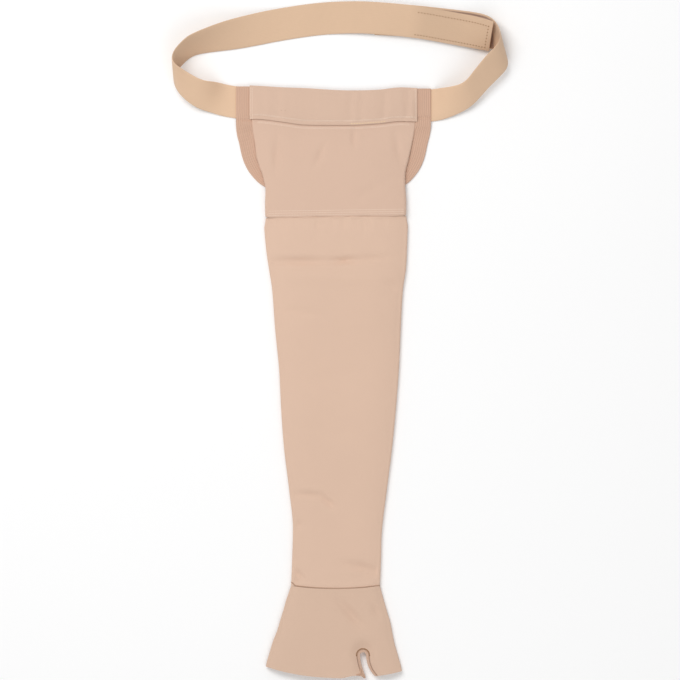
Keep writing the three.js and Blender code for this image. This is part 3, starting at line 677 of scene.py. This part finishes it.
def makeRibBinding():
    lowY = arm["length"] + cap["back"] + 2 * cloth["gap"] + ribBand["width"] / 2
    wing = (hem["width"] - cap["width"]) / 2 + cloth["gap"] + ribBand["width"]
    over = strap["thick"] + cloth["gap"]

    def side(outerX, sign, top):
        return [
            (outerX + sign * (ribBand["width"] / 2 + wing * inward),
             min(hemHighY + top, mix(hemLowY, lowY, drop)), ribBand["thick"] / 2 + over * lift)
            for inward, drop, lift in ribRows
        ]

    right = side(ribRightX, -1, ribBand["topRight"])
    points = np.array(side(ribLeftX, 1, ribBand["topLeft"]) + right[::-1])
    travelled = np.concatenate([[0], np.cumsum(np.linalg.norm(np.diff(points, axis=0), axis=1))])
    table = np.column_stack([travelled, points])
    read = readTable(("travelled", "x", "y", "z"), table, np.linspace(0, travelled[-1], 300))
    path = np.column_stack([read["x"], read["y"], read["z"]])
    along = np.gradient(path, axis=0)
    across = np.column_stack([along[:, 1], -along[:, 0], np.zeros(len(path))])
    across /= np.linalg.norm(across, axis=1)[:, None]
    run = routeFrame(path, across)[1]
    below = ribBand["foldY"] - path[:, 1]
    bottom = smoothStep(path[:, 1], lowY + 2, lowY + 22)
    grow = ribBand["atHem"] * smoothStep(below, -8, -3) + ribBand["underPanel"] * smoothStep(below, 4, 14)
    wide = ribBand["width"] + grow * bottom
    path = path - across * (grow * bottom)[:, None] / 2

    def relief(sides, at):
        fromMiddle = sides * np.interp(at, run, wide) / 2
        ribs = 0.5 + 0.5 * np.cos(2 * np.pi * fromMiddle * ribBand["ribs"] / ribBand["width"])
        past = np.interp(at, run, below)
        folded = ribBand["foldDepth"] * math.exp(-(past / 1.1) ** 2)
        return -(ribBand["ribDepth"] * (1 - ribs) + folded) * (np.abs(sides) < 0.98)

    rings, uv = bandRings(path, across, wide, ribBand["thick"], 56, 0, relief)
    return smoothShade(solidFromRings("armholeBinding", rings, uv), 70)


# Places that follow from the sizes of several pieces
hemLowY = arm["length"] + cap["tube"] + cap["panel"]
hemHighY = hemLowY + hem["height"]
hemMidY = (hemLowY + hemHighY) / 2
hemLeftX = hem["shift"] - hem["width"] / 2
hemRightX = hem["shift"] + hem["width"] / 2
ribLeftX = hemLeftX - cloth["gap"] - ribBand["width"]
ribRightX = hemRightX + cloth["gap"] + ribBand["width"]
bendLeftX = ribLeftX - strap["leftReach"]
bendRightX = ribRightX + strap["rightReach"]
loopWidth = bendRightX - bendLeftX
tabLevel = strap["thick"] + 2 * strap["tape"] + 3 * cloth["gap"]

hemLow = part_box("top_hem_band")[0]
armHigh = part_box("arm_sleeve")[1]
shift = np.array([
    hemLow[0] * 1000 - hemLeftX,
    armHigh[1] * 1000 - arm["length"] - arm["lap"] - cloth["gap"] / 2,
    0.0,
])

longRows = strapRoute(longFront, longBack, ribLeftX, -strap["leftReach"])
shortRows = strapRoute(shortFront, shortBack, ribRightX, strap["rightReach"])


def endStretch(rows, length, margin, count):
    fine = strapStations(rows, 400)
    path = fine[:, [0, 1, 5]]
    run = np.concatenate([[0], np.cumsum(np.linalg.norm(np.diff(path, axis=0), axis=1))])
    kept = fine[(run >= run[-1] - length - margin) & (run <= run[-1] - margin)]
    return strapStations([tuple(row[:5]) for row in kept], count)


# Materials
def linearColour(red, green, blue):
    def toLinear(value):
        value = value / 255
        return value / 12.92 if value <= 0.04045 else ((value + 0.055) / 1.055) ** 2.4
    return (toLinear(red), toLinear(green), toLinear(blue), 1)


class Nodes:  # short way to add and join nodes of one material
    def __init__(self, name):
        self.material = bpy.data.materials.new(name)
        self.material.use_nodes = True
        self.tree = self.material.node_tree
        self.shader = self.tree.nodes["Principled BSDF"]

    def add(self, kind, **settings):
        node = self.tree.nodes.new(kind)
        for key, value in settings.items():
            setattr(node, key, value)
        return node

    def link(self, source, target):
        self.tree.links.new(source, target)

    def maths(self, operation, a, b=0.0):
        node = self.add("ShaderNodeMath", operation=operation)
        for socket, value in zip(node.inputs, (a, b)):
            if hasattr(value, "links"):
                self.link(value, socket)
            else:
                socket.default_value = value
        return node.outputs[0]

    def noise(self, vector, scale, detail=3.0):
        node = self.add("ShaderNodeTexNoise")
        node.inputs["Scale"].default_value = scale
        node.inputs["Detail"].default_value = detail
        self.link(vector, node.inputs["Vector"])
        return node.outputs["Fac"]

    def blend(self, factor, colourA, colourB):
        node = self.add("ShaderNodeMix", data_type="RGBA")
        self.link(factor, node.inputs["Factor"])
        for socket, value in ((node.inputs[6], colourA), (node.inputs[7], colourB)):
            if hasattr(value, "links"):
                self.link(value, socket)
            else:
                socket.default_value = value
        return node.outputs[2]

    def bump(self, height, distance, strength=1.0):
        node = self.add("ShaderNodeBump")
        node.inputs["Distance"].default_value = distance
        node.inputs["Strength"].default_value = strength
        self.link(height, node.inputs["Height"])
        self.link(node.outputs["Normal"], self.shader.inputs["Normal"])


def shade(colour, factor):
    return (colour[0] * factor, colour[1] * factor, colour[2] * factor, 1)


def knitMaterial(name, look):  # fine weft knit: upright wales and rows of loops
    n = Nodes(name)
    place = n.add("ShaderNodeTexCoord").outputs["Object"]
    parts = n.add("ShaderNodeSeparateXYZ")
    n.link(place, parts.inputs[0])
    wander = n.maths("MULTIPLY", n.noise(place, 60), 0.0012)
    walePhase = n.maths("MULTIPLY", n.maths("ADD", parts.outputs["X"], wander), 2 * math.pi / look["wale"])
    coursePhase = n.maths("MULTIPLY", parts.outputs["Y"], 2 * math.pi / look["course"])
    wale = n.maths("ABSOLUTE", n.maths("SINE", n.maths("MULTIPLY", walePhase, 0.5)))
    slanted = n.maths("ADD", coursePhase, n.maths("MULTIPLY", wale, 2.4))
    loops = n.maths("SINE", slanted)
    height = n.maths("ADD", n.maths("MULTIPLY", wale, 1.2), n.maths("MULTIPLY", loops, 0.35))
    fuzz = n.noise(place, 2600, 2)
    height = n.maths("ADD", height, n.maths("MULTIPLY", fuzz, look["fuzz"]))
    n.bump(height, look["bump"])
    base = linearColour(*look["colour"])
    patch = n.noise(place, 9, 4)
    tone = n.blend(patch, shade(base, 1 - look["patch"]), shade(base, 1 + look["patch"]))
    # painted shade: the pits between the wales are darkened, standing in for the shade in the knit's hollows
    pitShade = n.maths("MULTIPLY", n.maths("SUBTRACT", 1.0, wale), look["pitShade"])
    tone = n.blend(pitShade, tone, shade(base, 0.72))
    fleck = n.maths("MULTIPLY", n.noise(place, 900, 2), look["fleck"])
    tone = n.blend(fleck, tone, shade(base, 1.12))
    n.link(tone, n.shader.inputs["Base Color"])
    n.shader.inputs["Roughness"].default_value = 0.88
    n.shader.inputs["Specular IOR Level"].default_value = 0.25
    n.shader.inputs["Sheen Weight"].default_value = look["sheen"]
    n.shader.inputs["Sheen Roughness"].default_value = 0.5
    return n.material


def elasticMaterial(name, look):  # woven elastic: close cross ribs and lengthwise cords
    n = Nodes(name)
    uv = n.add("ShaderNodeUVMap", uv_map="run").outputs["UV"]
    place = n.add("ShaderNodeTexCoord").outputs["Object"]
    parts = n.add("ShaderNodeSeparateXYZ")
    n.link(uv, parts.inputs[0])
    cross = n.maths("SINE", n.maths("MULTIPLY", parts.outputs["X"], 2 * math.pi / look["rib"]))
    cords = n.maths("COSINE", n.maths("MULTIPLY", parts.outputs["Y"], 2 * math.pi / look["cord"]))
    height = n.maths("ADD", n.maths("MULTIPLY", cross, 0.7), n.maths("MULTIPLY", cords, look["cordDepth"]))
    height = n.maths("ADD", height, n.maths("MULTIPLY", n.noise(place, 2200, 2), look["fuzz"]))
    n.bump(height, look["bump"])
    base = linearColour(*look["colour"])
    patch = n.noise(place, 14, 4)
    tone = n.blend(patch, shade(base, 0.95), shade(base, 1.05))
    # painted shade: the valleys between the cross ribs are darkened
    dip = n.maths("SUBTRACT", 1.0, n.maths("ADD", n.maths("MULTIPLY", cross, 0.5), 0.5))
    valleyShade = n.maths("MULTIPLY", dip, look["valleyShade"])
    tone = n.blend(valleyShade, tone, shade(base, 0.7))
    # painted shade: the grooves between the lengthwise cords are darkened
    groove = n.maths("MULTIPLY", n.maths("SUBTRACT", 1.0, cords), look["cordShade"])
    tone = n.blend(groove, tone, shade(base, 0.6))
    if "tabStart" in look:  # paler near the sleeve: painted light lifting the shade on the strap's tipped first stretch; darker where the hook tape is sewn under
        paintedLight = n.add("ShaderNodeMapRange")
        paintedLight.inputs["From Min"].default_value = look["paleRun"]
        paintedLight.inputs["From Max"].default_value = look["paleRun"] + 0.03
        paintedLight.inputs["To Min"].default_value = look["paleTone"]
        paintedLight.inputs["To Max"].default_value = 0
        n.link(parts.outputs["X"], paintedLight.inputs["Value"])
        tone = n.blend(paintedLight.outputs["Result"], tone, shade(base, 1.5))
        tab = n.add("ShaderNodeMapRange")
        tab.inputs["From Min"].default_value = look["tabStart"]
        tab.inputs["From Max"].default_value = look["tabStart"] + 0.02
        n.link(parts.outputs["X"], tab.inputs["Value"])
        tone = n.blend(n.maths("MULTIPLY", tab.outputs["Result"], look["tabTone"]), tone, shade(base, 0.5))
    n.link(tone, n.shader.inputs["Base Color"])
    n.shader.inputs["Roughness"].default_value = look["rough"]
    n.shader.inputs["Specular IOR Level"].default_value = 0.25
    n.shader.inputs["Sheen Weight"].default_value = look["sheen"]
    return n.material


def threadMaterial(name, colour):
    n = Nodes(name)
    place = n.add("ShaderNodeTexCoord").outputs["Object"]
    base = linearColour(*colour)
    tone = n.blend(n.noise(place, 700, 2), shade(base, 0.88), shade(base, 1.08))
    n.link(tone, n.shader.inputs["Base Color"])
    n.bump(n.noise(place, 4000, 1), 0.0001)
    n.shader.inputs["Roughness"].default_value = 0.6
    return n.material


knit = {"wale": 0.0011, "course": 0.0009, "bump": 0.00012, "fuzz": 0.5, "patch": 0.03, "pitShade": 0.10,
        "fleck": 0.25, "sheen": 0.15}
looks = {
    "sleeve": {**knit, "colour": (223, 191, 169)},
    "hand": {**knit, "colour": (218, 187, 165)},
    "slot": {**knit, "colour": (206, 172, 150)},
    "cap": {**knit, "colour": (219, 187, 166)},
    "hem": {**knit, "colour": (216, 185, 164), "wale": 0.0013, "fuzz": 0.8},
    "rib": {"rib": 0.0012, "cord": 0.00243, "cordDepth": 0.1, "bump": 0.0001, "fuzz": 0.9,
            "cordShade": 0.10, "colour": (213, 176, 153), "valleyShade": 0.12, "rough": 0.9, "sheen": 0.2},
    "strap": {"rib": 0.0013, "cord": 0.0018, "cordDepth": 0.25, "bump": 0.00010, "fuzz": 0.5,
              "cordShade": 0.03, "tabTone": 0.2, "paleRun": 0.09, "paleTone": 0.16,
              "colour": (221, 188, 158), "valleyShade": 0.14, "rough": 0.8, "sheen": 0.15},
    "hook": {"rib": 0.0010, "cord": 0.0010, "cordDepth": 0.8, "bump": 0.0003, "fuzz": 0.5,
             "cordShade": 0.1, "colour": (214, 184, 162), "valleyShade": 0.3, "rough": 0.6, "sheen": 0.0},
    "pile": {"rib": 0.0011, "cord": 0.0013, "cordDepth": 0.5, "bump": 0.0004, "fuzz": 1.8,
             "cordShade": 0.1, "colour": (196, 156, 135), "valleyShade": 0.2, "rough": 0.95, "sheen": 0.4},
}


def finishPiece(piece, material, slotName, *nodes):
    piece.data.materials.clear()
    piece.data.materials.append(material)
    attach(piece, "root")
    if nodes:
        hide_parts(*nodes)
    return piece


# Stitches laid along paths by Geometry Nodes
def stitchTree(name, material):
    tree = bpy.data.node_groups.new(name, "GeometryNodeTree")
    face = tree.interface
    face.new_socket("Geometry", in_out="INPUT", socket_type="NodeSocketGeometry")
    sizes = {"Spacing": 0.0025, "Stitch length": 0.0019, "Thread width": 0.0005}
    for label, value in sizes.items():
        face.new_socket(label, in_out="INPUT", socket_type="NodeSocketFloat").default_value = value
    face.new_socket("Geometry", in_out="OUTPUT", socket_type="NodeSocketGeometry")
    add = tree.nodes.new
    join = tree.links.new
    source = add("NodeGroupInput")
    toCurve = add("GeometryNodeMeshToCurve")
    resample = add("GeometryNodeResampleCurve")
    resample.mode = "LENGTH"
    tangent = add("GeometryNodeInputTangent")
    turn = add("FunctionNodeAlignRotationToVector")
    turn.axis = "X"
    bead = add("GeometryNodeMeshUVSphere")
    bead.inputs["Segments"].default_value = 8
    bead.inputs["Rings"].default_value = 5
    bead.inputs["Radius"].default_value = 0.5
    size = add("ShaderNodeCombineXYZ")
    place = add("GeometryNodeInstanceOnPoints")
    realize = add("GeometryNodeRealizeInstances")
    paint = add("GeometryNodeSetMaterial")
    paint.inputs["Material"].default_value = material
    out = add("NodeGroupOutput")
    join(source.outputs["Geometry"], toCurve.inputs[0])
    join(toCurve.outputs[0], resample.inputs["Curve"])
    join(source.outputs["Spacing"], resample.inputs["Length"])
    join(resample.outputs[0], place.inputs["Points"])
    join(bead.outputs["Mesh"], place.inputs["Instance"])
    join(tangent.outputs[0], turn.inputs["Vector"])
    join(turn.outputs[0], place.inputs["Rotation"])
    join(source.outputs["Stitch length"], size.inputs["X"])
    join(source.outputs["Thread width"], size.inputs["Y"])
    join(source.outputs["Thread width"], size.inputs["Z"])
    join(size.outputs[0], place.inputs["Scale"])
    join(place.outputs[0], realize.inputs[0])
    join(realize.outputs[0], paint.inputs["Geometry"])
    join(paint.outputs[0], out.inputs[0])
    return tree


def makeStitches(name, paths, tree, look):
    points = []
    edges = []
    for path in paths:
        start = len(points)
        points += [tuple(point) for point in path]
        edges += [(start + k, start + k + 1) for k in range(len(path) - 1)]
    mesh = bpy.data.meshes.new(name)
    mesh.from_pydata(toMetres(points).tolist(), edges, [])
    piece = bpy.data.objects.new(name, mesh)
    bpy.context.scene.collection.objects.link(piece)
    modifier = piece.modifiers.new("stitches", "NODES")
    modifier.node_group = tree
    for item in tree.interface.items_tree:
        if item.in_out == "INPUT" and item.name in look:
            modifier[item.identifier] = look[item.name]
    applyModifiers(piece)
    piece.data.shade_smooth()
    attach(piece, "root")
    return piece


def surfaceHeight(pieces, x, y):  # highest point of the pieces over a place on the table
    x0, y0, _ = toMetres((x, y, 0))
    best = 0
    for piece in pieces:
        found, where, _, _ = piece.ray_cast((x0, y0, 0.2), (0, 0, -1))
        if found:
            best = max(best, where.z * 1000)
    return best


def laidPath(points, pieces, lowest=0.1):  # a path laid down on the pieces, given in x and y
    return [(x, y, max(lowest, surfaceHeight(pieces, x, y) - 0.1)) for x, y in points]


def stageRoom():
    material = Nodes("paleFloor")
    place = material.add("ShaderNodeTexCoord").outputs["Object"]
    tone = material.blend(material.noise(place, 2, 2), (0.965, 0.965, 0.965, 1), (0.98, 0.98, 0.98, 1))
    material.link(tone, material.shader.inputs["Base Color"])
    material.shader.inputs["Roughness"].default_value = 0.9
    mesh = bpy.data.meshes.new("floor")
    reach = 30
    mesh.from_pydata([(-reach, -reach, -0.0005), (reach, -reach, -0.0005), (reach, reach, -0.0005),
                      (-reach, reach, -0.0005)], [], [(0, 1, 2, 3)])
    mesh.materials.append(material.material)
    floor = bpy.data.objects.new("floor", mesh)
    bpy.context.scene.collection.objects.link(floor)


def addLight(name, place, aim, size, power):
    data = bpy.data.lights.new(name, "AREA")
    data.shape = "SQUARE"
    data.size = size
    data.energy = power
    light = bpy.data.objects.new(name, data)
    light.location = place
    direction = np.array(aim) - np.array(place)
    pitch = math.acos(-direction[2] / np.linalg.norm(direction))
    turn = math.atan2(direction[1], direction[0])
    light.rotation_euler = (0, -pitch, turn)
    bpy.context.scene.collection.objects.link(light)


camera = {"height": 9.0, "x": 0.0011, "y": 0.0006, "frameSide": 0.784}
room = {"world": 0.52, "key": 33, "fill": 14}


def stageLightAndCamera():
    scene = bpy.context.scene
    world = bpy.data.worlds.new("softRoom")
    world.use_nodes = True
    world.node_tree.nodes["Background"].inputs["Color"].default_value = (1, 1, 1, 1)
    world.node_tree.nodes["Background"].inputs["Strength"].default_value = room["world"]
    scene.world = world
    addLight("keyLight", (-0.9, 1.2, 2.1), (0, 0, 0), 1.4, room["key"])
    addLight("fillLight", (0.6, -1.5, 2.0), (0, 0, 0), 2.0, room["fill"])
    data = bpy.data.cameras.new("photoCamera")
    data.lens = data.sensor_width * camera["height"] / camera["frameSide"]
    view = bpy.data.objects.new("photoCamera", data)
    view.location = (camera["x"], camera["y"], camera["height"])
    scene.collection.objects.link(view)
    scene.camera = view
    scene.view_settings.view_transform = "Standard"


stageRoom()
stageLightAndCamera()
print("room, light and camera placed")

armPiece = finishPiece(makeArm(), knitMaterial("sleeveKnit", looks["sleeve"]), "sleeve_knit", "arm_sleeve")
print("arm sleeve made")
handPiece = finishPiece(makeHand(), knitMaterial("handKnit", looks["hand"]), "hand_knit", "hand_piece")
slotPiece = finishPiece(makeSlotBinding(), knitMaterial("slotKnit", looks["slot"]),
                        "slot_binding", "thumb_slot_binding")
print("hand piece made")
capPiece = finishPiece(makeCap(), knitMaterial("capKnit", looks["cap"]), "cap_knit", "shoulder_cap")
hemPiece = finishPiece(makeHem(), knitMaterial("hemKnit", looks["hem"]), "hem_knit", "top_hem_band")
ribPiece = finishPiece(makeRibBinding(), elasticMaterial("ribKnit", looks["rib"]),
                       "rib_binding", "armhole_binding")
print("cap, hem and binding made")
longStations = strapStations(longRows, 260)
longRun = routeFrame(longStations[:, [0, 1, 5]], widthOf(longStations))[1][-1]
tabStart = (longRun - strap["hookLength"] - 10) / 1000
strapWeave = elasticMaterial("strapWeave", {**looks["strap"], "tabStart": tabStart})
shortStations = strapStations(shortRows, 180)
longPiece = finishPiece(makeBand("strapLong", longStations, strap["width"], strap["thick"], 24),
                        strapWeave, "strap_elastic", "strap_long")
shortPiece = finishPiece(makeBand("strapShort", shortStations, strap["width"], strap["thick"], 24),
                         strapWeave, "strap_elastic", "strap_short")
tapeRaise = (strap["thick"] + strap["tape"]) / 2 + cloth["gap"]
hookPath = endStretch(longRows, strap["hookLength"], 4, 60)
pilePath = endStretch(shortRows, strap["pileLength"], 6, 90)
hookPiece = finishPiece(makeBand("hookPad", hookPath, strap["padWidth"], strap["tape"], 10, tapeRaise),
                        elasticMaterial("hookTape", looks["hook"]), "hook_tape", "hook_pad")
pilePiece = finishPiece(makeBand("loopPad", pilePath, strap["pileWidth"], strap["tape"], 10, tapeRaise),
                        elasticMaterial("pileTape", looks["pile"]), "pile_tape", "loop_pad")
print("straps and tapes made")

threads = {
    "pale": (242, 221, 203), "dark": (184, 148, 125), "goldHighlight": (246, 220, 172), "tan": (152, 114, 82),
    "knot": (198, 160, 136),
}
trees = {}
for threadName, threadColour in threads.items():
    thread = threadMaterial(threadName + "Thread", threadColour)
    trees[threadName] = stitchTree(threadName + "Stitch", thread)
closeStitch = {"Spacing": 0.0018, "Stitch length": 0.0018, "Thread width": 0.0005}
wristShadeThread = {"Spacing": 0.0018, "Stitch length": 0.0026, "Thread width": 0.0016}
padStitch = {"Spacing": 0.0034, "Stitch length": 0.0015, "Thread width": 0.0012}
dotStitch = {"Spacing": 0.0009, "Stitch length": 0.0008, "Thread width": 0.0006}
knotStitch = {"Spacing": 0.0010, "Stitch length": 0.0028, "Thread width": 0.0023}
archThreadShade = {"Spacing": 0.0014, "Stitch length": 0.0024, "Thread width": 0.0017}
slotThreadShade = {"Spacing": 0.0018, "Stitch length": 0.0018, "Thread width": 0.0009}
goldHighlightBead = {"Spacing": 0.0030, "Stitch length": 0.0022, "Thread width": 0.0009}


def lineAcross(yAt, leftX, rightX, count=90):
    return [(x, yAt(x)) for x in np.linspace(leftX, rightX, count)]


def capSeamRow(offset):
    return lineAcross(lambda x: arm["length"] + offset + cap["edgeSlant"] * x / cap["width"], -77, 77)


def hemRow(offset):
    return lineAcross(lambda x: hemEdgesAt(x)[0] + offset, hemLeftX + 2, hemRightX - 2, 120)


def wristRow(offset):  # turns up at the left edge, where the seam is drawn into a fold
    def yAt(x):
        return wristSeamY(x) + offset + 3.2 * float(smoothStep(-x, 45, 51)) ** 2

    return lineAcross(yAt, -51, 49.5)


def hemEndRow(x):
    return [(x, y) for y in np.linspace(hemLowY + 5.5, hemHighY + 0.5, 24)]


def slotRow(grow):
    return [point for point in slotOutline(grow) if point[1] > -hand["slotY"] - 26]


def onBand(stations, side, spots, height):  # points on a strap's upper face, at runs from its end
    path = stations[:, [0, 1, 5]]
    across = widthOf(stations)
    face, run = routeFrame(path, across)
    up = face * np.sign(face[:, 2])[:, None]
    points = path + across * side * strap["width"] / 2 + up * (strap["thick"] / 2 + height)
    return [[np.interp(run[-1] - spot, run, points[:, k]) for k in range(3)] for spot in spots]


capStitches = [laidPath(capSeamRow(offset), [capPiece]) for offset in (1.8, 4.4, 7.0)]
makeStitches("capSeamStitches", capStitches, trees["pale"], closeStitch)
hemStitches = [laidPath(hemRow(offset), [hemPiece]) for offset in (4.4, 5.4)]
hemEndRows = (hemLeftX - 0.3, hemLeftX + 1.5, hemRightX - 0.6)
hemStitches += [laidPath(hemEndRow(x), [hemPiece]) for x in hemEndRows]
makeStitches("hemStitches", hemStitches, trees["pale"], closeStitch)
panelStitches = [laidPath(hemRow(offset)[4:-4], [capPiece]) for offset in (-3.0, -4.2)]
makeStitches("panelStitches", panelStitches, trees["pale"], closeStitch)
# a yellowish thread along the hem's low edge, made bright to also paint the highlight where that edge
# catches the light
goldHighlightRow = [point for point in hemRow(1.5) if 18 < point[0] < 57]
makeStitches("hemGoldThreadHighlight", [laidPath(goldHighlightRow, [hemPiece])], trees["goldHighlight"], goldHighlightBead)
dots = [[(x, hemLowY + 14.8), (x + 0.5, hemLowY + 14.8)] for x in (-63.3, -58.7)]
makeStitches("hemDots", [laidPath(dot, [hemPiece]) for dot in dots], trees["dark"], dotStitch)
# painted shade: a dark thread laid into the wrist seam's gap stands for the seam's shadow line
wristSeamShade = [laidPath(wristRow(0.5), [armPiece])]
makeStitches("wristSeamShade", wristSeamShade, trees["dark"], wristShadeThread)
# seam thread and painted shade: the dark row inside the binding's edge and the tan row along the arch's
# outer seam are darkened to paint the seam's shade line
slotSeamThreadShade = [laidPath(slotRow(hand["binding"] - 0.4), [slotPiece, handPiece])]
makeStitches("slotSeamThreadShade", slotSeamThreadShade, trees["dark"], slotThreadShade)
archRow = [point for point in slotOutline(hand["binding"] + 0.5) if point[1] > -hand["slotY"] - 3.6]
makeStitches("slotArchThreadShade", [laidPath(archRow, [handPiece])], trees["tan"], archThreadShade)
tail = [(28.4, -97.0), (28.9, -100.4), (28.0, -101.9), (26.2, -102.7), (24.6, -102.9)]
tailEnd = [(28.6, -101.0), (30.4, -103.2), (32.0, -105.0), (33.0, -106.0)]
knotPaths = [laidPath(line, [handPiece, slotPiece], 1.4) for line in (tail, tailEnd)]
makeStitches("slotThreadTail", knotPaths, trees["knot"], knotStitch)

boxLength = strap["hookLength"]
boxSides = (-0.80, 0.60)  # the box of stitches sits nearer the tab's lower edge
boxRows = [onBand(longStations, side, np.linspace(5, boxLength, 60), 0.12) for side in boxSides]
boxEnd = [onBand(longStations, side, [5], 0.12)[0] for side in np.linspace(*boxSides, 12)]
makeStitches("hookStitches", boxRows + [boxEnd], trees["tan"], padStitch)
print("stitches made")
